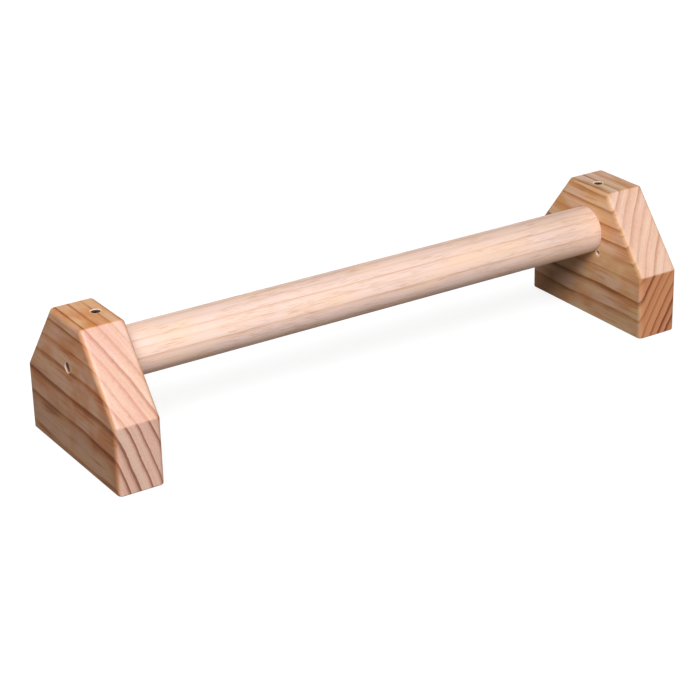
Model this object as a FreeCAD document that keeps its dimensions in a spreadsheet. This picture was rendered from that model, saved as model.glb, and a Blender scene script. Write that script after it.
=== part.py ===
import FreeCAD, Part
import Sketcher
import os

# A low wooden push-up stand: a round bar held between two six-sided end blocks.
# X runs along the bar, -Y is the front, +Z is up, and the origin is on the floor
# under the middle of the bar. All sizes are in millimetres, angles in degrees.

DIMENSIONS = [
    ("overall_length", 500, "outer face to outer face of the two blocks"),
    ("block_depth", 140, "block, front to back, at the floor"),
    ("block_height", 110, "block, floor to top"),
    ("block_thickness", 36, "block, along the bar"),
    ("shoulder_height", 52, "where the upright front and back turn into slopes"),
    ("top_width", 48, "flat top, front to back"),
    ("rim_rounding", 4, "radius round the rim of a block's two side faces"),
    ("ridge_rounding", 2, "radius where top, slopes and uprights meet"),
    ("foot_rounding", 1.2, "radius round the face that stands on the floor"),
    ("bar_diameter", 38, "grip bar"),
    ("bar_height", 73, "bar's centre line above the floor"),
    ("bar_end_chamfer", 1, "bevel on the bar's ends"),
    ("socket_depth", 22, "blind hole in a block that holds the bar's end"),
    ("socket_clearance", 0.05, "gap all round the bar in its socket"),
    ("socket_chamfer", 0.3, "bevel round the socket's mouth"),
    ("dimple_diameter", 4.6, "small blind hole beside the socket"),
    ("dimple_depth", 8, "same hole"),
    ("dimple_offset", 22.2, "same hole, distance from the bar's centre line"),
    ("dimple_angle", 47, "same hole, direction below the level"),
    ("seat_chamfer", 0.4, "bevel round the mouth of a screw's counterbore"),
    ("shank_clearance", 0.25, "radial gap round a screw in a block"),
    ("thread_clearance", 0.05, "radial gap round a screw in the bar"),
    ("tip_gap", 1, "empty hole past a screw's tip"),
    ("side_seat_diameter", 7.6, "counterbore in a block's outer face"),
    ("side_seat_depth", 7, "same counterbore"),
    ("side_thread_diameter", 4, "screw into the bar's end grain"),
    ("side_core_diameter", 2.7, "same screw, between the threads"),
    ("side_length", 45, "same screw, under the head"),
    ("side_head_diameter", 7, "same screw"),
    ("side_head_height", 2.6, "same screw"),
    ("top_seat_diameter", 7, "counterbore in a block's flat top"),
    ("top_seat_depth", 3.4, "same counterbore"),
    ("top_thread_diameter", 3.5, "screw down into the bar"),
    ("top_core_diameter", 2.3, "same screw, between the threads"),
    ("top_length", 25, "same screw, under the head"),
    ("top_head_diameter", 6.4, "same screw"),
    ("top_head_height", 2.3, "same screw"),
    ("thread_pitch", 2, "spacing of a thread's ridges"),
    ("thread_root_width", 1.2, "width of a ridge where it leaves the core"),
    ("tip_length", 4, "pointed end of a screw"),
    ("recess_width", 1, "slot of the cross recess in a screw's head"),
]

TOUCHING = 0.01
ALONG_Y = FreeCAD.Vector(0, 1, 0)
ALONG_Z = FreeCAD.Vector(0, 0, 1)

document = FreeCAD.newDocument("push_up_stand")
sheet = document.addObject("Spreadsheet::Sheet", "Dims")


def fill_sheet():
    for row, (alias, value, meaning) in enumerate(DIMENSIONS, start=1):
        sheet.set(f"A{row}", meaning)
        sheet.set(f"B{row}", str(value))
        sheet.setAlias(f"B{row}", alias)
    document.recompute()


def number(formula):
    """The value of a formula of sheet cells."""
    return float(sheet.evalExpression(formula))


def bind(item, **formulas):
    for name, formula in formulas.items():
        item.setExpression(name, formula)


# ---- sketches ----

def new_sketch(body, name, role, lift=None):
    """A sketch on one of the body's own origin planes, raised along its normal."""
    plane = next(item for item in body.Origin.OriginFeatures if item.Role == role)
    sketch = body.newObject("Sketcher::SketchObject", name)
    sketch.AttachmentSupport = [(plane, "")]
    sketch.MapMode = "FlatFace"
    if lift:
        sketch.setExpression("AttachmentOffset.Base.z", lift)
    return sketch


def bound_constraint(sketch, formula, *parts):
    index = sketch.addConstraint(Sketcher.Constraint(*parts, number(formula)))
    sketch.setExpression(f"Constraints[{index}]", formula)


def pin_point(sketch, line, end, across, up):
    """Hold a sketch point at two formulas, measured from the sketch's origin."""
    bound_constraint(sketch, across, "DistanceX", -1, 1, line, end)
    bound_constraint(sketch, up, "DistanceY", -1, 1, line, end)


def draw_polygon(sketch, corners):
    """A closed outline whose corners are pairs of formulas."""
    drafts = [FreeCAD.Vector(number(across), number(up), 0) for across, up in corners]
    count = len(corners)
    for line in range(count):
        sketch.addGeometry(Part.LineSegment(drafts[line], drafts[(line + 1) % count]), False)
    for line in range(count):
        sketch.addConstraint(Sketcher.Constraint("Coincident", line, 2, (line + 1) % count, 1))
    for line, (across, up) in enumerate(corners):
        pin_point(sketch, line, 1, across, up)


def draw_circle(sketch, across, up, radius):
    centre = FreeCAD.Vector(number(across), number(up), 0)
    sketch.addGeometry(Part.Circle(centre, ALONG_Z, number(radius)), False)
    pin_point(sketch, 0, 3, across, up)
    bound_constraint(sketch, radius, "Radius", 0)


# ---- features ----

def finish_feature(feature, before, grows):
    """Stop if the feature didn't change its body's volume the way it should."""
    document.recompute()
    change = feature.Shape.Volume - before
    if (change > 0) != grows or abs(change) < TOUCHING:
        raise RuntimeError(f"{feature.Label} changed the volume by {change:.3f}")
    return feature


def volume_of(body):
    document.recompute()
    return body.Shape.Volume if body.Tip else 0.0


def pad(body, name, sketch, length):
    before = volume_of(body)
    feature = body.newObject("PartDesign::Pad", f"{body.Label}_{name}")
    feature.Profile = sketch
    bind(feature, Length=length)
    return finish_feature(feature, before, grows=True)


def pocket(body, name, sketch, depth):
    before = volume_of(body)
    feature = body.newObject("PartDesign::Pocket", f"{body.Label}_{name}")
    feature.Profile = sketch
    bind(feature, Length=depth)
    return finish_feature(feature, before, grows=False)


def revolve(body, name, sketch):
    """Turn a sketch on the XZ plane once round the Z axis."""
    before = volume_of(body)
    feature = body.newObject("PartDesign::Revolution", f"{body.Label}_{name}")
    feature.Profile = sketch
    feature.ReferenceAxis = (sketch, ["V_Axis"])
    feature.Angle = 360
    return finish_feature(feature, before, grows=True)


def drill(body, name, sketch, diameter, depth, seat=None, backwards=False):
    """A flat-bottomed hole, with a counterbore where seat gives (diameter, depth)."""
    before = volume_of(body)
    feature = body.newObject("PartDesign::Hole", f"{body.Label}_{name}")
    feature.Profile = sketch
    feature.DepthType = "Dimension"
    feature.DrillPoint = "Flat"
    feature.Reversed = backwards
    bind(feature, Diameter=diameter, Depth=depth)
    if seat:
        feature.HoleCutType = "Counterbore"
        bind(feature, HoleCutDiameter=seat[0], HoleCutDepth=seat[1])
    return finish_feature(feature, before, grows=False)


def soften(body, name, kind, size, chosen):
    """A fillet or chamfer on the edges of the body for which chosen(edge) is true."""
    before = volume_of(body)
    base = body.Tip
    edges = enumerate(base.Shape.Edges, start=1)
    names = [f"Edge{index}" for index, edge in edges if chosen(edge)]
    feature = body.newObject(f"PartDesign::{kind}", f"{body.Label}_{name}")
    feature.Base = (base, names)
    bind(feature, **{"Radius" if kind == "Fillet" else "Size": size})
    return finish_feature(feature, before, grows=False)


def lies_at(edge, axis, place):
    """True where the whole edge lies in the plane axis = place."""
    box = edge.BoundBox
    low = {"x": box.XMin, "y": box.YMin, "z": box.ZMin}[axis]
    high = {"x": box.XMax, "y": box.YMax, "z": box.ZMax}[axis]
    return abs(low - place) < TOUCHING and abs(high - place) < TOUCHING


def is_circle(edge, radius):
    if edge.Degenerated:
        return False
    return isinstance(edge.Curve, Part.Circle) and abs(edge.Curve.Radius - radius) < TOUCHING


# ---- the pieces ----

def end_block(label):
    """A block whose outer face is at x = 0 and whose inner face holds the socket."""
    body = document.addObject("PartDesign::Body", label)
    thickness = number("Dims.block_thickness")
    half = "Dims.block_depth / 2"
    half_top = "Dims.top_width / 2"
    outline = new_sketch(body, f"{label}_outline", "YZ_Plane")
    draw_polygon(outline, [
        (f"-{half}", "0"),
        (half, "0"),
        (half, "Dims.shoulder_height"),
        (half_top, "Dims.block_height"),
        (f"-{half_top}", "Dims.block_height"),
        (f"-{half}", "Dims.shoulder_height"),
    ])
    pad(body, "slab", outline, "Dims.block_thickness")
    round_block(body, thickness)

    inner = "Dims.block_thickness"
    socket = new_sketch(body, f"{label}_socket_outline", "YZ_Plane", inner)
    draw_circle(socket, "0", "Dims.bar_height", "Dims.bar_diameter / 2 + Dims.socket_clearance")
    pocket(body, "socket", socket, "Dims.socket_depth")

    dimple = new_sketch(body, f"{label}_dimple_outline", "YZ_Plane", inner)
    draw_circle(
        dimple,
        "Dims.dimple_offset * cos(Dims.dimple_angle)",
        "Dims.bar_height - Dims.dimple_offset * sin(Dims.dimple_angle)",
        "Dims.dimple_diameter / 2",
    )
    pocket(body, "dimple", dimple, "Dims.dimple_depth")

    drill_for_screws(body)
    soften_mouths(body, thickness)
    return body


def round_block(body, thickness):
    def ridge(edge):
        return edge.BoundBox.XLength > thickness / 2 and edge.BoundBox.ZMin > TOUCHING

    def rim(edge):
        on_a_side = lies_at(edge, "x", 0) or lies_at(edge, "x", thickness)
        return on_a_side and not lies_at(edge, "z", 0)

    soften(body, "ridges", "Fillet", "Dims.ridge_rounding", ridge)
    soften(body, "rims", "Fillet", "Dims.rim_rounding", rim)
    soften(body, "foot", "Fillet", "Dims.foot_rounding", lambda edge: lies_at(edge, "z", 0))


def drill_for_screws(body):
    side = new_sketch(body, f"{body.Label}_side_centre", "YZ_Plane")
    draw_circle(side, "0", "Dims.bar_height", "Dims.side_seat_diameter / 2")
    drill(
        body, "side_hole", side,
        "Dims.side_thread_diameter + 2 * Dims.shank_clearance",
        "Dims.block_thickness - Dims.socket_depth / 2",
        seat=("Dims.side_seat_diameter", "Dims.side_seat_depth"),
        backwards=True,
    )
    top = new_sketch(body, f"{body.Label}_top_centre", "XY_Plane", "Dims.block_height")
    draw_circle(top, "Dims.block_thickness - Dims.socket_depth / 2", "0", "Dims.top_seat_diameter / 2")
    drill(
        body, "top_hole", top,
        "Dims.top_thread_diameter + 2 * Dims.shank_clearance",
        "Dims.block_height - Dims.bar_height",
        seat=("Dims.top_seat_diameter", "Dims.top_seat_depth"),
    )


def soften_mouths(body, thickness):
    side_radius = number("Dims.side_seat_diameter / 2")
    top_radius = number("Dims.top_seat_diameter / 2")
    socket_radius = number("Dims.bar_diameter / 2 + Dims.socket_clearance")
    top = number("Dims.block_height")

    def seat_mouth(edge):
        side = is_circle(edge, side_radius) and lies_at(edge, "x", 0)
        return side or (is_circle(edge, top_radius) and lies_at(edge, "z", top))

    def socket_mouth(edge):
        return is_circle(edge, socket_radius) and lies_at(edge, "x", thickness)

    soften(body, "seat_mouths", "Chamfer", "Dims.seat_chamfer", seat_mouth)
    soften(body, "socket_mouth", "Chamfer", "Dims.socket_chamfer", socket_mouth)


def grip_bar(label):
    """The bar lies along X with its centre at the body's origin."""
    body = document.addObject("PartDesign::Body", label)
    half_length = "(Dims.overall_length / 2 - Dims.block_thickness + Dims.socket_depth)"
    section = new_sketch(body, f"{label}_section", "YZ_Plane", f"-{half_length}")
    draw_circle(section, "0", "0", "Dims.bar_diameter / 2")
    pad(body, "rod", section, f"2 * {half_length}")
    bar_radius = number("Dims.bar_diameter / 2")
    soften(body, "ends", "Chamfer", "Dims.bar_end_chamfer", lambda edge: is_circle(edge, bar_radius))

    end = new_sketch(body, f"{label}_end_centre", "YZ_Plane", half_length)
    draw_circle(end, "0", "0", "Dims.side_thread_diameter / 2 + Dims.thread_clearance")
    web = "(Dims.block_thickness - Dims.socket_depth - Dims.side_seat_depth)"
    end_hole = pocket(body, "end_hole", end, f"Dims.side_length - {web} + Dims.tip_gap")

    top = new_sketch(body, f"{label}_top_centre", "XY_Plane", "Dims.bar_diameter / 2")
    draw_circle(
        top,
        f"{half_length} - Dims.socket_depth / 2",
        "0",
        "Dims.top_thread_diameter / 2 + Dims.thread_clearance",
    )
    above = "(Dims.block_height - Dims.top_seat_depth - Dims.bar_height - Dims.bar_diameter / 2)"
    top_hole = pocket(body, "top_hole", top, f"Dims.top_length - {above} + Dims.tip_gap")

    before = volume_of(body)
    mirror_plane = next(item for item in body.Origin.OriginFeatures if item.Role == "YZ_Plane")
    other_end = body.newObject("PartDesign::Mirrored", f"{label}_other_end")
    other_end.Originals = [end_hole, top_hole]
    other_end.MirrorPlane = (mirror_plane, [""])
    body.Tip = other_end
    finish_feature(other_end, before, grows=False)
    return body


def wood_screw(label, kind):
    """A pan-head wood screw: its head stands on z = 0 and its tip points down."""
    body = document.addObject("PartDesign::Body", label)
    core = f"Dims.{kind}_core_diameter / 2"
    thread = f"Dims.{kind}_thread_diameter / 2"
    head = f"Dims.{kind}_head_diameter / 2"
    head_height = f"Dims.{kind}_head_height"
    length = f"Dims.{kind}_length"
    plain = f"{length} / 3"
    profile = new_sketch(body, f"{label}_profile", "XZ_Plane")
    draw_polygon(profile, [
        ("0", f"-{length}"),
        (core, f"Dims.tip_length - {length}"),
        (core, f"-{plain}"),
        (f"({core} + {thread}) / 2", f"-{plain}"),
        (f"({core} + {thread}) / 2", "0"),
        (head, "0"),
        (head, head_height),
        ("0", head_height),
    ])
    revolve(body, "shank", profile)
    head_radius = number(head)
    top = number(head_height)

    def head_rim(edge):
        return is_circle(edge, head_radius) and lies_at(edge, "z", top)

    soften(body, "head_rounding", "Fillet", f"{head_height} * 0.6", head_rim)
    cut_cross_recess(body, head, head_height)
    add_thread(body, core, thread, length, plain)
    return body


def cut_cross_recess(body, head, head_height):
    half_slot = "Dims.recess_width / 2"
    reach = f"{head} * 0.6"
    quarter = [(reach, half_slot), (half_slot, half_slot), (half_slot, reach)]
    corners = list(quarter)
    corners += [(f"-({across})", up) for across, up in reversed(quarter)]
    corners += [(f"-({across})", f"-({up})") for across, up in quarter]
    corners += [(across, f"-({up})") for across, up in reversed(quarter)]
    cross = new_sketch(body, f"{body.Label}_cross", "XY_Plane", head_height)
    draw_polygon(cross, corners)
    pocket(body, "recess", cross, f"{head_height} * 0.6")


def add_thread(body, core, thread, length, plain):
    """Ridges round the core, one every pitch, from the plain shank to the tip."""
    start = f"({plain} + Dims.thread_pitch / 2)"
    ridge = new_sketch(body, f"{body.Label}_ridge_profile", "XZ_Plane")
    draw_polygon(ridge, [
        (f"{core} / 2", f"-{start} - Dims.thread_root_width / 2"),
        (core, f"-{start} - Dims.thread_root_width / 2"),
        (thread, f"-{start}"),
        (core, f"-{start} + Dims.thread_root_width / 2"),
        (f"{core} / 2", f"-{start} + Dims.thread_root_width / 2"),
    ])
    first_ridge = revolve(body, "ridge", ridge)
    before = volume_of(body)
    axis = next(item for item in body.Origin.OriginFeatures if item.Role == "Z_Axis")
    threads = body.newObject("PartDesign::LinearPattern", f"{body.Label}_thread")
    threads.Originals = [first_ridge]
    threads.Direction = (axis, [""])
    threads.Reversed = True
    run = f"({length} - Dims.tip_length - {start})"
    count = f"floor({run} / Dims.thread_pitch)"
    bind(threads, Occurrences=f"{count} + 1", Length=f"{count} * Dims.thread_pitch")
    body.Tip = threads
    finish_feature(threads, before, grows=True)


# ---- placing ----

def place(body, turn_axis, turn, across="0", up="0"):
    """Turn the body about an axis, then move it along X and up to two formulas."""
    body.Placement = FreeCAD.Placement(FreeCAD.Vector(), FreeCAD.Rotation(turn_axis, turn))
    body.setExpression("Placement.Base.x", across)
    body.setExpression("Placement.Base.z", up)


def build_all():
    outer = "Dims.overall_length / 2"
    seat = f"({outer} - Dims.side_seat_depth)"
    over_socket = f"({outer} - Dims.block_thickness + Dims.socket_depth / 2)"
    top_seat = "Dims.block_height - Dims.top_seat_depth"
    place(grip_bar("grip_bar"), ALONG_Z, 0, up="Dims.bar_height")
    for side, sign, block_turn, screw_turn in (("left", "-", 0, -90), ("right", "", 180, 90)):
        place(end_block(f"{side}_block"), ALONG_Z, block_turn, f"{sign}({outer})")
        place(wood_screw(f"{side}_side_screw", "side"), ALONG_Y, screw_turn, sign + seat, "Dims.bar_height")
        place(wood_screw(f"{side}_top_screw", "top"), ALONG_Z, 0, sign + over_socket, top_seat)


def check_all():
    document.recompute()
    for item in document.Objects:
        if "Invalid" in item.State or "Error" in item.State:
            raise RuntimeError(f"{item.Label} did not compute: {item.State}")
    bodies = [item for item in document.Objects if item.TypeId == "PartDesign::Body"]
    for body in bodies:
        shape = body.Shape
        if shape.isNull() or not shape.isValid() or len(shape.Solids) != 1:
            raise RuntimeError(f"{body.Label} is not one valid solid")
    return bodies


def write_steps(bodies):
    os.makedirs("parts", exist_ok=True)
    for body in bodies:
        body.Shape.exportStep(f"parts/{body.Label}.step")
        box = body.Shape.optimalBoundingBox()
        low = f"({box.XMin:.2f}, {box.YMin:.2f}, {box.ZMin:.2f})"
        high = f"({box.XMax:.2f}, {box.YMax:.2f}, {box.ZMax:.2f})"
        print(f"{body.Label}: {low} to {high}, {body.Shape.Volume / 1000:.2f} cm3")


fill_sheet()
build_all()
write_steps(check_all())
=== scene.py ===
"""The looks of the push-up stand: two varnished pine blocks, a sanded pine bar and black screws.

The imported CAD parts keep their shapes. This script gives each one a solid wood or steel material,
worked out from the position inside the piece, so that the growth rings on one face run on over the
edge into the next.
"""
from math import cos, pi, radians, sin

import bpy
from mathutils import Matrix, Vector


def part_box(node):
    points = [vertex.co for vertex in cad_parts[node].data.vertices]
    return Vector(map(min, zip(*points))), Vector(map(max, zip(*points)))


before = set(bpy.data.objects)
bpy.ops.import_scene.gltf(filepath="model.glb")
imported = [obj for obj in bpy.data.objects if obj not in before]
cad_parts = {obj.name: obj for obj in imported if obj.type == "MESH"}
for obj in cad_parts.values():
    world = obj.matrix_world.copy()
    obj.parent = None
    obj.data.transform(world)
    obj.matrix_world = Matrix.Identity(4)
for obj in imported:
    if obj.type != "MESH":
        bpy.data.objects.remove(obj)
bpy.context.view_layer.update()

# ---------------------------------------------------------------- places, in millimetres
METRE = 1000.0
LEFT_LOW, LEFT_HIGH = [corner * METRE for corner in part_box("left_block")]
RIGHT_LOW, RIGHT_HIGH = [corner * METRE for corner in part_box("right_block")]
BAR_LOW, BAR_HIGH = [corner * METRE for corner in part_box("grip_bar")]
BAR_AXIS_UP = (BAR_LOW.z + BAR_HIGH.z) / 2
BAR_RADIUS = (BAR_HIGH.z - BAR_LOW.z) / 2
BLOCK_UP = LEFT_HIGH.z
BLOCK_HALF_DEPTH = LEFT_HIGH.y
TOP_HALF_WIDTH = 24.0
SHOULDER_UP = 52.0
SHOULDER_BLEND = 0.8

# The drilled holes. Each has a rim of bare wood round its mouth, and painted shade deep inside.
TOP_SCREW_IN = 25.0
SIDE_BORE_RADIUS = 3.8
TOP_BORE_RADIUS = 3.5
DIMPLE_RADIUS = 2.3
DIMPLE_OFF_AXIS = 22.2
DIMPLE_BELOW_LEVEL = radians(47)
DEEPEST_HOLE = 9.0
RAW_RIM = 0.9
RAW_RIM_BLEND = 0.3


def linear(red, green, blue):
    """Display values as the linear RGBA that a shader takes. White is 255, and a tint, such as the
    painted light on the tops, may pass it.
    """
    def one(value):
        part = value / 255
        return part / 12.92 if part <= 0.04045 else ((part + 0.055) / 1.055) ** 2.4
    return (one(red), one(green), one(blue), 1.0)


def tones(pink, yellow, middle, dark):
    """The four colours of one kind of face, from display values."""
    return [linear(*colour) for colour in (pink, yellow, middle, dark)]


# ---------------------------------------------------------------- shader nodes
# Where a colour Mix node keeps its two colours and its result.
MIX_FIRST, MIX_SECOND, MIX_RESULT = 6, 7, 2


class Shader:
    """A material being made. Most methods add a node and give back its output socket."""

    def __init__(self, name):
        self.material = bpy.data.materials.new(name)
        self.material.use_nodes = True
        self.tree = self.material.node_tree
        self.surface = self.tree.nodes["Principled BSDF"]

    def put(self, socket, value):
        """Links another node's output to the socket, or sets the socket to a constant."""
        if isinstance(value, bpy.types.NodeSocket):
            self.tree.links.new(value, socket)
        else:
            socket.default_value = value

    def set_surface(self, name, value):
        """Puts a value on one input of the surface itself."""
        self.put(self.surface.inputs[name], value)

    def node(self, kind, *values, **settings):
        """Adds a node and puts the values on its first inputs; None leaves an input alone."""
        made = self.tree.nodes.new(kind)
        for name, value in settings.items():
            setattr(made, name, value)
        for socket, value in zip(made.inputs, values):
            if value is not None:
                self.put(socket, value)
        return made

    def math(self, operation, *values):
        return self.node("ShaderNodeMath", *values, operation=operation).outputs[0]

    def vector(self, across, up, along):
        return self.node("ShaderNodeCombineXYZ", across, up, along).outputs[0]

    def noise(self, place, width, seed, detail=1.0, roughness=0.5):
        """Smooth 3-D noise from 0 to 1, with a mean of a half, in blobs of about that width."""
        moved = self.node("ShaderNodeVectorMath", place, (seed, seed * 1.7, seed * 2.3)).outputs[0]
        made = self.node("ShaderNodeTexNoise", moved)
        self.put(made.inputs["Scale"], 1 / width)
        self.put(made.inputs["Detail"], detail)
        self.put(made.inputs["Roughness"], roughness)
        return made.outputs[0]

    def step(self, value, low, high, start=0.0, end=1.0):
        """Goes smoothly from start to end as the value goes from low to high."""
        values = (value, low, high, start, end)
        return self.node("ShaderNodeMapRange", *values, interpolation_type="SMOOTHSTEP").outputs[0]

    def between(self, value, start, end):
        """Goes evenly from start to end as the value goes from 0 to 1."""
        return self.math("MULTIPLY_ADD", value, end - start, start)

    def spread(self, value, amount):
        """Noise from 0 to 1 turned into a factor that swings by the amount either side of 1."""
        return self.between(value, 1 - amount, 1 + amount)

    def curve(self, value, stops):
        """A grey value that follows the stops, each a position and a height."""
        made = self.node("ShaderNodeValToRGB", value)
        ramp = made.color_ramp
        while len(ramp.elements) < len(stops):
            ramp.elements.new(1.0)
        for element, (position, height) in zip(ramp.elements, stops):
            element.position = position
            element.color = (height, height, height, 1.0)
        return made.outputs[0]

    def mix(self, share, first, second, blend="MIX"):
        made = self.node("ShaderNodeMix", data_type="RGBA", blend_type=blend)
        self.put(made.inputs["Factor"], share)
        self.put(made.inputs[MIX_FIRST], first)
        self.put(made.inputs[MIX_SECOND], second)
        return made.outputs[MIX_RESULT]

    def shaded(self, colour, factor):
        """The colour times a number."""
        return self.mix(1.0, colour, self.vector(factor, factor, factor), "MULTIPLY")

    def bump(self, height, depth):
        """Raises the surface by the height, from 0 to 1, times a depth in millimetres."""
        made = self.node("ShaderNodeBump")
        self.put(made.inputs["Strength"], 1.0)
        self.put(made.inputs["Distance"], depth / METRE)
        self.put(made.inputs["Height"], height)
        self.set_surface("Normal", made.outputs[0])


def place_in(shader, grain):
    """The position in millimetres as across, up and along the grain, which runs along Y or X."""
    coords = shader.node("ShaderNodeTexCoord").outputs["Object"]
    scaled = shader.node("ShaderNodeVectorMath", coords, operation="SCALE")
    shader.put(scaled.inputs["Scale"], METRE)
    x, y, z = shader.node("ShaderNodeSeparateXYZ", scaled.outputs[0]).outputs
    return (x, z, y) if grain == "Y" else (y, z, x)


def how_far(shader, first, second, centre):
    """How far the point (first, second) is from a centre."""
    one = shader.math("SUBTRACT", first, centre[0])
    two = shader.math("SUBTRACT", second, centre[1])
    squared = shader.math("MULTIPLY_ADD", one, one, shader.math("MULTIPLY", two, two))
    return shader.math("SQRT", squared)


def facing(shader, direction):
    """How squarely the surface faces a direction or its opposite, from 0 to 1."""
    normal = shader.node("ShaderNodeTexCoord").outputs["Normal"]
    unit = Vector(direction).normalized()
    dot = shader.node("ShaderNodeVectorMath", normal, unit, operation="DOT_PRODUCT")
    return shader.math("ABSOLUTE", dot.outputs["Value"])


# ---------------------------------------------------------------- any wood
# How dark a growth ring is, from its pale start at 0 to the line that ends it at 1.
SOFT_BAND = ((0.0, 0.40), (0.07, 0.06), (0.25, 0.0), (0.55, 0.22), (0.80, 0.72), (0.93, 1.0), (1.0, 0.9))
THIN_LINE = ((0.0, 0.70), (0.05, 0.0), (0.70, 0.0), (0.86, 0.45), (0.94, 1.0), (1.0, 0.95))
COUNT_AT_DARK = 60.0
FINE_SWAY = 0.22
UNEVEN_RUN = 1.3
UNEVEN_SWAY = 0.35


def streaks(shader, place, width, stretch, seed, detail=1.0, roughness=0.5):
    """Noise in streaks of about that width, and that many times longer along the grain."""
    across, up, along = place
    squeezed = shader.vector(across, up, shader.math("MULTIPLY", along, 1 / stretch))
    return shader.noise(squeezed, width, seed, detail, roughness)


def swayed(shader, radius, noise, amount):
    """The radius moved by noise from 0 to 1, by up to half the amount either way."""
    return shader.math("MULTIPLY_ADD", shader.math("SUBTRACT", noise, 0.5), amount, radius)


def ring_count(shader, place, pith, spacing, dark_at, sway, seed):
    """The number of the growth ring, which rises outwards from the pith.

    A whole number is a dark line, as at dark_at, where it is COUNT_AT_DARK. That is high enough to
    keep it above zero all through the piece.
    """
    across, up, _ = place
    radius = how_far(shader, across, up, pith)
    slow = streaks(shader, place, width=38.0, stretch=3.0, seed=seed, roughness=0.4)
    fine = streaks(shader, place, width=5.0, stretch=7.0, seed=seed + 5, detail=2.0, roughness=0.55)
    uneven = shader.noise(shader.vector(radius, seed, 0.0), UNEVEN_RUN * spacing, seed + 9)
    bent = swayed(shader, radius, slow, sway)
    bent = swayed(shader, bent, fine, FINE_SWAY * sway)
    bent = swayed(shader, bent, uneven, UNEVEN_SWAY * spacing)
    dark_radius = (Vector(dark_at) - Vector(pith)).length
    past_dark = shader.math("SUBTRACT", bent, dark_radius)
    return shader.math("MULTIPLY_ADD", past_dark, 1 / spacing, COUNT_AT_DARK)


def changing(shader, count, along, length, seed):
    """A place whose noise changes from ring to ring, and slowly over that length along the grain."""
    return shader.vector(count, seed, shader.math("MULTIPLY", along, 1 / length))


def fibres(shader, place, seed):
    """Fine lines along the grain, from 0 to 1."""
    wide = streaks(shader, place, width=1.3, stretch=40.0, seed=seed, detail=2.0, roughness=0.6)
    thin = streaks(shader, place, width=0.45, stretch=60.0, seed=seed + 3, detail=2.0, roughness=0.6)
    return shader.math("MULTIPLY_ADD", wide, 0.55, shader.math("MULTIPLY", thin, 0.45))


# ---------------------------------------------------------------- the blocks' wood
# Painted shade: a block's long faces are darker towards the foot, going from one factor at the lower
# height to another at the upper one.
PAINTED_SHADE_LOW_UP = 5.0
PAINTED_SHADE_HIGH_UP = 90.0
BLOCK_SWAY = 4.0
FALSE_RINGS = 2.37
LAYERS_IN_RING = 4.5
PORE_WIDTH = 0.7
# How far along the grain a ring, a layer inside it and the tint each change, in millimetres.
FADE_LENGTH = 40.0
LAYER_LENGTH = 60.0
TINT_LENGTH = 30.0
# How squarely each kind of face lies, from where its mask begins to where it is full.
CUT_FACING = (0.52, 0.76)
END_FACING = (0.45, 0.90)
TOP_FACING = (0.80, 0.97)
# How squarely a flat face lies at its rounded edge, and where it is flat.
FLAT_FACING = (0.90, 0.995)
# Shares on the long faces, the sloped cuts and the ends.
STREAK_SHARES = (0.34, 0.16, 0.0)
FALSE_RING_SHARES = (0.26, 0.10, 0.16)
# How much of the darker edge tone, partly painted shade, goes on the rounded edges below and above the
# shoulder.
RIM_BELOW_SHOULDER = 0.10
RIM_ABOVE_SHOULDER = 0.30
BARE_WOOD = linear(240, 208, 180)
# Painted shade deep in the holes, and how much of it goes on.
HOLE_PAINTED_SHADE = linear(58, 34, 22)
HOLE_PAINTED_SHADE_SHARE = 0.92
BLOCK_ROUGHNESS = 0.48
BLOCK_RELIEF = 0.10


class Faces:
    """Masks that tell a block's sloped cuts and upright ends from its long faces."""

    def __init__(self, shader, up):
        self.shader = shader
        endwise = facing(shader, (0, 1, 0))
        self.above = shader.step(up, SHOULDER_UP - SHOULDER_BLEND, SHOULDER_UP + SHOULDER_BLEND)
        below = shader.math("SUBTRACT", 1.0, self.above)
        self.cut = shader.math("MULTIPLY", shader.step(endwise, *CUT_FACING), self.above)
        self.end = shader.math("MULTIPLY", shader.step(endwise, *END_FACING), below)

    def number(self, on_long, on_cut, on_end):
        """One number for each kind of face, blended between them."""
        part = self.shader.between(self.cut, on_long, on_cut)
        return self.shader.math("MULTIPLY_ADD", self.end, on_end - on_long, part)

    def colour(self, on_long, on_cut, on_end):
        """One colour for each kind of face, blended between them."""
        part = self.shader.mix(self.cut, on_long, on_cut)
        return self.shader.mix(self.end, part, on_end)


def rounded_edge(shader):
    """1 on the sanded edges between a block's flat faces, 0 on the faces."""
    rise = BLOCK_UP - SHOULDER_UP
    run = BLOCK_HALF_DEPTH - TOP_HALF_WIDTH
    flats = [(1, 0, 0), (0, 1, 0), (0, 0, 1), (0, rise, run), (0, -rise, run)]
    squarest = facing(shader, flats[0])
    for direction in flats[1:]:
        squarest = shader.math("MAXIMUM", squarest, facing(shader, direction))
    return shader.step(squarest, *FLAT_FACING, 1.0, 0.0)


def bare_hole(shader, away, radius, depth, dark_from, dark_by, pale):
    """Two masks of one drilled hole: its bare wood with the rim, and painted shade that grows with the
    depth inside it.
    """
    rim = radius + RAW_RIM
    inside = shader.step(away, rim - RAW_RIM_BLEND, rim, 1.0, 0.0)
    near = shader.math("LESS_THAN", depth, DEEPEST_HOLE)
    here = shader.math("MULTIPLY", inside, near)
    hole_shade = shader.math("MULTIPLY", here, shader.step(depth, dark_from, dark_by))
    return shader.math("MULTIPLY", here, pale), hole_shade


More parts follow.
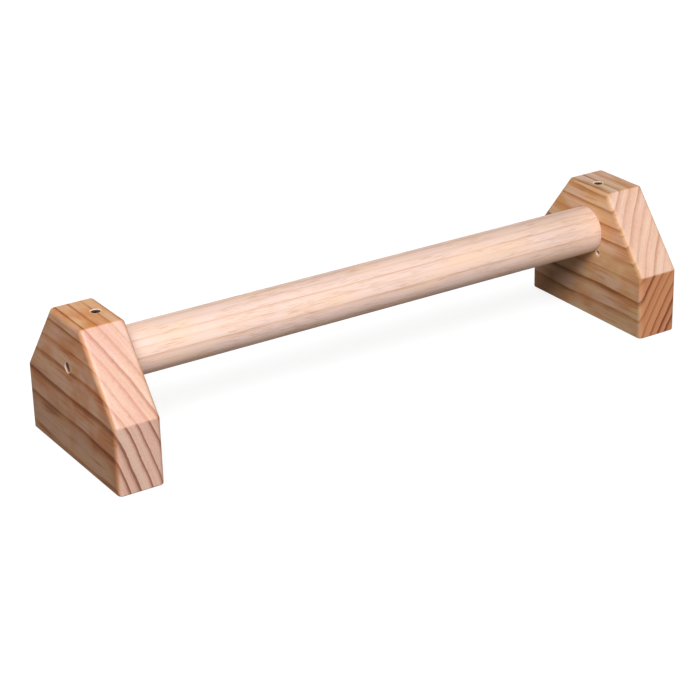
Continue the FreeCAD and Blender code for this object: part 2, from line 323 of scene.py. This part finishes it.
def drilled(shader, place, side):
    """The bare wood masks of a block's three holes and their painted shade; side is -1 on the left
    block.
    """
    across, up, along = place
    out = shader.math("ABSOLUTE", across)
    from_outer = shader.math("SUBTRACT", RIGHT_HIGH.x, out)
    from_inner = shader.math("SUBTRACT", out, RIGHT_LOW.x)
    from_top = shader.math("SUBTRACT", BLOCK_UP, up)
    screw_at = (side * (RIGHT_HIGH.x - TOP_SCREW_IN), 0.0)
    dimple_along = -side * DIMPLE_OFF_AXIS * cos(DIMPLE_BELOW_LEVEL)
    dimple_up = BAR_AXIS_UP - DIMPLE_OFF_AXIS * sin(DIMPLE_BELOW_LEVEL)
    off_bar = how_far(shader, along, up, (0.0, BAR_AXIS_UP))
    off_screw = how_far(shader, across, along, screw_at)
    off_dimple = how_far(shader, along, up, (dimple_along, dimple_up))
    holes = [
        bare_hole(shader, off_bar, SIDE_BORE_RADIUS, from_outer, dark_from=0.1, dark_by=1.6, pale=0.55),
        bare_hole(shader, off_screw, TOP_BORE_RADIUS, from_top, dark_from=0.15, dark_by=0.7, pale=0.85),
        bare_hole(shader, off_dimple, DIMPLE_RADIUS, from_inner, dark_from=0.8, dark_by=4.0, pale=0.65),
    ]
    bare, hole_shade = 0.0, 0.0
    for own_bare, own_hole_shade in holes:
        bare = shader.math("MAXIMUM", bare, own_bare)
        hole_shade = shader.math("MAXIMUM", hole_shade, own_hole_shade)
    return bare, hole_shade


def block_darkness(shader, faces, place, count, lines, bands, seed):
    """How dark the wood is, from 0 to 1: its rings, thin false rings between them, and streaks."""
    within = shader.math("FRACT", count)
    ring = shader.math("FLOOR", count)
    own = shader.node("ShaderNodeTexWhiteNoise", None, ring, noise_dimensions="1D").outputs["Value"]
    fade = shader.noise(changing(shader, ring, place[2], FADE_LENGTH, seed), width=1.0, seed=1.0)
    strength = shader.math("MULTIPLY", shader.between(own, 0.5, 1.1), shader.between(fade, 0.3, 1.6))
    line = shader.math("MULTIPLY", shader.curve(within, THIN_LINE), faces.number(*lines))
    band = shader.math("MULTIPLY", shader.curve(within, SOFT_BAND), faces.number(*bands))

    streak = streaks(shader, place, width=2.6, stretch=14.0, seed=seed + 11, detail=2.0, roughness=0.6)
    extra = shader.math("MULTIPLY", shader.step(streak, 0.5, 0.72), faces.number(*STREAK_SHARES))
    false_within = shader.math("FRACT", shader.math("MULTIPLY", count, FALSE_RINGS))
    false_line = shader.curve(false_within, THIN_LINE)
    where_false = shader.step(fade, 0.45, 0.65)
    false_share = shader.math("MULTIPLY", where_false, faces.number(*FALSE_RING_SHARES))
    extra = shader.math("MULTIPLY_ADD", false_line, false_share, extra)

    darkness = shader.math("MULTIPLY_ADD", shader.math("ADD", line, band), strength, extra)
    return shader.math("MINIMUM", darkness, 1.0)


def ring_colour(shader, darkness, tint, four_tones):
    """Pale wood, pinker or yellower by the tint, which goes through a middle tone to a dark one."""
    pink, yellow, middle, dark = four_tones
    pale = shader.mix(tint, pink, yellow)
    halfway = shader.mix(shader.step(darkness, 0.0, 0.6), pale, middle)
    return shader.mix(shader.step(darkness, 0.4, 1.0), halfway, dark)


def block_shade(shader, faces, place, count, fibre, shade_at_foot, shade_at_top, seed):
    """A factor for the colour: fibres, layers inside a ring, pores on the ends, and painted shade that
    darkens the long faces towards the foot.
    """
    across, up, along = place
    layer = shader.math("MULTIPLY", count, LAYERS_IN_RING)
    layers = shader.noise(changing(shader, layer, along, LAYER_LENGTH, seed), width=1.0, seed=3.0)
    shade = shader.math("MULTIPLY", shader.spread(fibre, 0.19), shader.spread(layers, 0.12))

    pores = shader.noise(shader.vector(across, up, 0.0), PORE_WIDTH, seed, detail=2.0, roughness=0.7)
    on_end = shader.math("MULTIPLY", faces.end, shader.math("SUBTRACT", pores, 0.5))
    shade = shader.math("MULTIPLY", shade, shader.math("MULTIPLY_ADD", on_end, 0.5, 1.0))

    # Painted shade: the long faces get darker towards the foot of the block.
    painted_shade_by_height = shader.step(up, PAINTED_SHADE_LOW_UP, PAINTED_SHADE_HIGH_UP, shade_at_foot, shade_at_top)
    cross_cut = shader.math("MAXIMUM", faces.cut, faces.end)
    on_long = shader.math("SUBTRACT", 1.0, cross_cut)
    return shader.math("MULTIPLY", shade, shader.math("MULTIPLY_ADD", on_long, painted_shade_by_height, cross_cut))


def block_pine(
    name, side, seed, pith, spacing, dark_at,
    long_tones, cut_tones, end_tones, lines, bands, patches,
    shade_at_foot, shade_at_top, stain, top_light_tint, rim,
):
    """Satin-varnished pine. Long faces, sloped cuts and ends each take the varnish in their own way.

    Tones are pink, yellow, middle and dark. Lines, bands and patches are strengths on the long
    faces, the cuts and the ends. The long faces carry painted shade, from shade_at_foot near the floor
    up to shade_at_top.
    """
    shader = Shader(name)
    place = place_in(shader, "Y")
    _, up, along = place
    faces = Faces(shader, up)
    count = ring_count(shader, place, pith, spacing, dark_at, BLOCK_SWAY, seed)
    fibre = fibres(shader, place, seed)
    darkness = block_darkness(shader, faces, place, count, lines, bands, seed)

    drift = changing(shader, shader.math("MULTIPLY", count, 0.8), along, TINT_LENGTH, seed)
    tint = shader.noise(drift, width=1 / 1.3, seed=21.0, detail=2.0, roughness=0.6)
    tint = shader.step(tint, 0.35, 0.65)
    each_face = (long_tones, cut_tones, end_tones)
    colour = faces.colour(*[ring_colour(shader, darkness, tint, own_tones) for own_tones in each_face])
    patch = shader.step(shader.noise(drift, width=1.0, seed=9.0, detail=2.0), 0.42, 0.66)
    patch_share = shader.math("MULTIPLY", patch, faces.number(*patches))
    colour = shader.mix(patch_share, colour, stain, "MULTIPLY")
    shade = block_shade(shader, faces, place, count, fibre, shade_at_foot, shade_at_top, seed)
    colour = shader.shaded(colour, shade)

    # Painted light: the faces that point up get a tint of their own, for how light from above falls on
    # them.
    on_top = shader.step(facing(shader, (0, 0, 1)), *TOP_FACING)
    colour = shader.mix(on_top, colour, top_light_tint, "MULTIPLY")
    # The rounded edges take a darker tone: partly the sanded edge's own colour, partly painted shade
    # against the lamps' brighter light on the rounding.
    edge = rounded_edge(shader)
    rim_strength = shader.between(faces.above, RIM_BELOW_SHOULDER, RIM_ABOVE_SHOULDER)
    colour = shader.mix(shader.math("MULTIPLY", edge, rim_strength), colour, rim)
    bare, hole_shade = drilled(shader, place, side)
    colour = shader.mix(bare, colour, BARE_WOOD)
    # Painted shade darkens the holes deep inside.
    colour = shader.mix(shader.math("MULTIPLY", hole_shade, HOLE_PAINTED_SHADE_SHARE), colour, HOLE_PAINTED_SHADE)
    shader.set_surface("Base Color", colour)

    rough = BLOCK_ROUGHNESS
    for mask, change in ((edge, -0.04), (faces.end, 0.10), (fibre, 0.14), (bare, 0.25)):
        rough = shader.math("MULTIPLY_ADD", mask, change, rough)
    shader.set_surface("Roughness", rough)
    shader.set_surface("Coat Weight", 0.08)
    shader.set_surface("Coat Roughness", 0.35)
    shader.bump(shader.math("MULTIPLY_ADD", darkness, 0.6, fibre), BLOCK_RELIEF)
    return shader.material


def left_pine():
    return block_pine(
        "left_block_pine", side=-1, seed=2.0,
        pith=(LEFT_LOW.x - 257.0, -69.0), spacing=8.3, dark_at=(LEFT_LOW.x + 15.6, 36.0),
        long_tones=tones((209, 164, 139), (207, 162, 125), (192, 132, 89), (148, 93, 62)),
        cut_tones=tones((207, 168, 155), (207, 174, 153), (195, 148, 131), (172, 124, 106)),
        end_tones=tones((200, 166, 153), (196, 164, 147), (170, 128, 112), (129, 87, 70)),
        lines=(0.60, 0.14, 0.90), bands=(0.48, 0.66, 0.56), patches=(0.85, 0.25, 0.30),
        shade_at_foot=0.72, shade_at_top=0.98,
        stain=linear(240, 206, 176), top_light_tint=linear(255, 255, 236), rim=linear(186, 140, 98),
    )


def right_pine():
    return block_pine(
        "right_block_pine", side=1, seed=7.0,
        pith=(RIGHT_LOW.x + 208.0, -81.0), spacing=7.4, dark_at=(RIGHT_LOW.x + 22.0, 26.0),
        long_tones=tones((221, 178, 150), (218, 176, 130), (200, 144, 96), (156, 104, 66)),
        cut_tones=tones((216, 180, 162), (216, 182, 160), (200, 158, 136), (178, 134, 112)),
        end_tones=tones((186, 124, 86), (190, 131, 88), (160, 96, 61), (117, 62, 38)),
        lines=(0.32, 0.08, 0.30), bands=(0.62, 0.75, 1.0), patches=(0.70, 0.25, 0.30),
        shade_at_foot=0.64, shade_at_top=1.02,
        stain=linear(244, 212, 180), top_light_tint=linear(238, 252, 276), rim=linear(180, 138, 96),
    )


# ---------------------------------------------------------------- the bar's wood
BAR_RING = 6.5
BAR_SWAY = 1.6
BAR_PITH = (-117.0, BAR_AXIS_UP - 109.0)
BAR_DARK_TURN = radians(67)
BAR_DARK_AT = (-BAR_RADIUS * cos(BAR_DARK_TURN), BAR_AXIS_UP + BAR_RADIUS * sin(BAR_DARK_TURN))
BAR_FADE_LENGTH = 35.0
CLEAR_RING = 0.60
FAINT_RING = 0.26
SOFT_SHARE = 0.25
DASH_SHARE = 0.52
BAR_RELIEF = 0.06


def bar_pine():
    """Sanded, clear-finished pine, paler than the blocks, with faint rings and short dashes."""
    shader = Shader("bar_pine_wood")
    place = place_in(shader, "X")
    count = ring_count(shader, place, BAR_PITH, BAR_RING, BAR_DARK_AT, BAR_SWAY, 40)
    within = shader.math("FRACT", count)
    ring = shader.math("FLOOR", count)
    fibre = fibres(shader, place, 31)

    every_other = shader.math("MULTIPLY", shader.math("FRACT", shader.math("MULTIPLY", ring, 0.5)), 2.0)
    own = shader.between(every_other, CLEAR_RING, FAINT_RING)
    fade = shader.noise(changing(shader, ring, place[2], BAR_FADE_LENGTH, 0.0), width=1.0, seed=1.0)
    strength = shader.math("MULTIPLY", own, shader.between(fade, 0.3, 1.5))
    line = shader.curve(within, THIN_LINE)
    tone = shader.math("MULTIPLY_ADD", shader.curve(within, SOFT_BAND), SOFT_SHARE, line)
    darkness = shader.math("MINIMUM", shader.math("MULTIPLY", tone, strength), 1.0)

    dash = shader.step(streaks(shader, place, width=0.52, stretch=24.0, seed=77), 0.54, 0.64)
    cluster = shader.step(streaks(shader, place, width=9.0, stretch=5.0, seed=12), 0.36, 0.56)
    dashes = shader.math("MULTIPLY", dash, cluster)

    colour = shader.mix(darkness, linear(220, 192, 180), linear(193, 147, 117))
    patch = streaks(shader, place, width=16.0, stretch=3.0, seed=3, detail=2.0)
    colour = shader.mix(shader.step(patch, 0.4, 0.7, 0.0, 0.60), colour, linear(224, 190, 162))
    colour = shader.mix(shader.math("MULTIPLY", dashes, DASH_SHARE), colour, linear(184, 138, 106))
    shader.set_surface("Base Color", shader.shaded(colour, shader.spread(fibre, 0.13)))
    shader.set_surface("Roughness", shader.between(fibre, 0.44, 0.56))
    shader.set_surface("Coat Weight", 0.06)
    shader.set_surface("Coat Roughness", 0.35)
    relief = shader.math("MULTIPLY_ADD", darkness, 0.4, fibre)
    shader.bump(shader.math("MULTIPLY_ADD", dashes, -0.8, relief), BAR_RELIEF)
    return shader.material


# ---------------------------------------------------------------- steel
STEEL_RELIEF = 0.03


def black_steel():
    """Black phosphate on steel: dull and mottled, rubbed bright in places by the driver."""
    shader = Shader("black_steel")
    place = shader.vector(*place_in(shader, "Y"))
    mottle = shader.noise(place, width=1.2, seed=4, detail=3.0, roughness=0.6)
    grit = shader.noise(place, width=0.2, seed=8, detail=2.0, roughness=0.6)
    rubbed = shader.step(mottle, 0.62, 0.80)
    colour = shader.mix(mottle, linear(26, 23, 22), linear(15, 13, 13))
    colour = shader.mix(shader.math("MULTIPLY", rubbed, 0.18), colour, linear(110, 106, 102))
    shader.set_surface("Base Color", colour)
    shader.set_surface("Metallic", 0.4)
    shader.set_surface("Specular IOR Level", 0.3)
    shader.set_surface("Roughness", shader.between(rubbed, 0.6, 0.4))
    shader.bump(grit, STEEL_RELIEF)
    return shader.material


def dress(material, *nodes):
    """Puts one material on the whole of each CAD node."""
    for node in nodes:
        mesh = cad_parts[node].data
        mesh.materials.clear()
        mesh.materials.append(material)


dress(left_pine(), "left_block")
dress(right_pine(), "right_block")
dress(bar_pine(), "grip_bar")
dress(black_steel(), "left_side_screw", "right_side_screw", "left_top_screw", "right_top_screw")

# ---------------------------------------------------------------- studio, in metres
FLOOR_HALF = 12.0
FLOOR_UP = -0.0003
WHITE = (1.0, 1.0, 1.0, 1.0)
# The camera sees the floor glow, with a grey added that takes the shadows.
GLOW_AT_STAND = 0.84
GLOW_FAR_OFF = 1.0
GLOW_RISES_FROM = 0.8
GLOW_RISES_TO = 3.5
SHADOW_GREY = (0.22, 0.22, 0.22, 1.0)
# All other rays meet only this darker grey, so the floor throws little light back up.
BOUNCE_GREY = (0.15, 0.14, 0.13, 1.0)
# The lamps are aimed at the middle of the stand.
AIM = Vector((0.0, 0.0, 0.055))
CAMERA_AT = (-0.7871, -1.2228, 0.6713)
CAMERA_TURN = (radians(66.207), radians(1.375), radians(-32.574))
LENS_LENGTH = 109.5
SENSOR_WIDTH = 36.0


def seen_and_lit(tree, seen, lit):
    """A shader that the camera sees as one thing and that throws light as another."""
    path = tree.nodes.new("ShaderNodeLightPath")
    both = tree.nodes.new("ShaderNodeMixShader")
    tree.links.new(path.outputs["Is Camera Ray"], both.inputs[0])
    tree.links.new(lit, both.inputs[1])
    tree.links.new(seen, both.inputs[2])
    return both.outputs[0]


def dull(tree, colour):
    """A plain matt surface of one colour."""
    made = tree.nodes.new("ShaderNodeBsdfDiffuse")
    made.inputs["Color"].default_value = colour
    return made.outputs[0]


def floor_glow(tree):
    """A white glow that rises with the distance from the stand, so that no horizon shows."""
    coords = tree.nodes.new("ShaderNodeTexCoord")
    away = tree.nodes.new("ShaderNodeVectorMath")
    away.operation = "LENGTH"
    tree.links.new(coords.outputs["Object"], away.inputs[0])
    rise = tree.nodes.new("ShaderNodeMapRange")
    tree.links.new(away.outputs["Value"], rise.inputs["Value"])
    rise.inputs["From Min"].default_value = GLOW_RISES_FROM
    rise.inputs["From Max"].default_value = GLOW_RISES_TO
    rise.inputs["To Min"].default_value = GLOW_AT_STAND
    rise.inputs["To Max"].default_value = GLOW_FAR_OFF
    glow = tree.nodes.new("ShaderNodeEmission")
    glow.inputs["Color"].default_value = WHITE
    tree.links.new(rise.outputs[0], glow.inputs["Strength"])
    return glow.outputs[0]


def white_sweep():
    """The floor's material: white with soft, light shadows."""
    material = bpy.data.materials.new("white_sweep")
    material.use_nodes = True
    tree = material.node_tree
    tree.nodes.remove(tree.nodes["Principled BSDF"])
    seen = tree.nodes.new("ShaderNodeAddShader")
    tree.links.new(floor_glow(tree), seen.inputs[0])
    tree.links.new(dull(tree, SHADOW_GREY), seen.inputs[1])
    surface = seen_and_lit(tree, seen.outputs[0], dull(tree, BOUNCE_GREY))
    tree.links.new(surface, tree.nodes["Material Output"].inputs["Surface"])
    return material


def pale_floor():
    """A large square just under the stand."""
    mesh = bpy.data.meshes.new("floor")
    quarters = ((-1, -1), (1, -1), (1, 1), (-1, 1))
    corners = [(x * FLOOR_HALF, y * FLOOR_HALF, FLOOR_UP) for x, y in quarters]
    mesh.from_pydata(corners, [], [(0, 1, 2, 3)])
    mesh.materials.append(white_sweep())
    floor = bpy.data.objects.new("floor", mesh)
    bpy.context.scene.collection.objects.link(floor)


def pale_world(fill):
    """White where the camera sees past the floor, and a dim even fill as light."""
    world = bpy.data.worlds.new("studio")
    bpy.context.scene.world = world
    world.use_nodes = True
    tree = world.node_tree
    seen = tree.nodes["Background"]
    seen.inputs["Color"].default_value = WHITE
    seen.inputs["Strength"].default_value = 1.0
    lit = tree.nodes.new("ShaderNodeBackground")
    lit.inputs["Color"].default_value = WHITE
    lit.inputs["Strength"].default_value = fill
    surface = seen_and_lit(tree, seen.outputs[0], lit.outputs[0])
    tree.links.new(surface, tree.nodes["World Output"].inputs["Surface"])


def softbox(name, direction, distance, size, brightness, glossy=True):
    """A square lamp aimed at the stand; brightness is how bright white paper facing it would look."""
    lamp = bpy.data.lights.new(name, "AREA")
    lamp.shape = "SQUARE"
    lamp.size = size
    lamp.energy = brightness * (pi * distance) ** 2
    holder = bpy.data.objects.new(name, lamp)
    bpy.context.scene.collection.objects.link(holder)
    towards = Vector(direction).normalized()
    holder.location = AIM + towards * distance
    holder.rotation_euler = towards.to_track_quat("Z", "Y").to_euler()
    holder.visible_glossy = glossy


def camera():
    """Looks down from the front left through a long lens."""
    lens = bpy.data.cameras.new("camera")
    lens.sensor_width = SENSOR_WIDTH
    lens.lens = LENS_LENGTH
    holder = bpy.data.objects.new("camera", lens)
    bpy.context.scene.collection.objects.link(holder)
    holder.location = CAMERA_AT
    holder.rotation_euler = CAMERA_TURN
    bpy.context.scene.camera = holder


pale_floor()
pale_world(fill=0.055)
softbox("key", (-0.46, -0.56, 0.69), distance=2.2, size=1.0, brightness=1.27)
softbox("front_fill", (0.05, -1.0, 0.02), distance=2.4, size=1.2, brightness=0.58)
softbox("back_fill", (0.30, 0.95, 0.12), distance=2.4, size=1.6, brightness=1.10, glossy=False)
softbox("side_fill", (1.0, -0.02, 0.12), distance=2.4, size=1.6, brightness=0.70, glossy=False)
camera()
bpy.context.scene.view_settings.view_transform = "Standard"
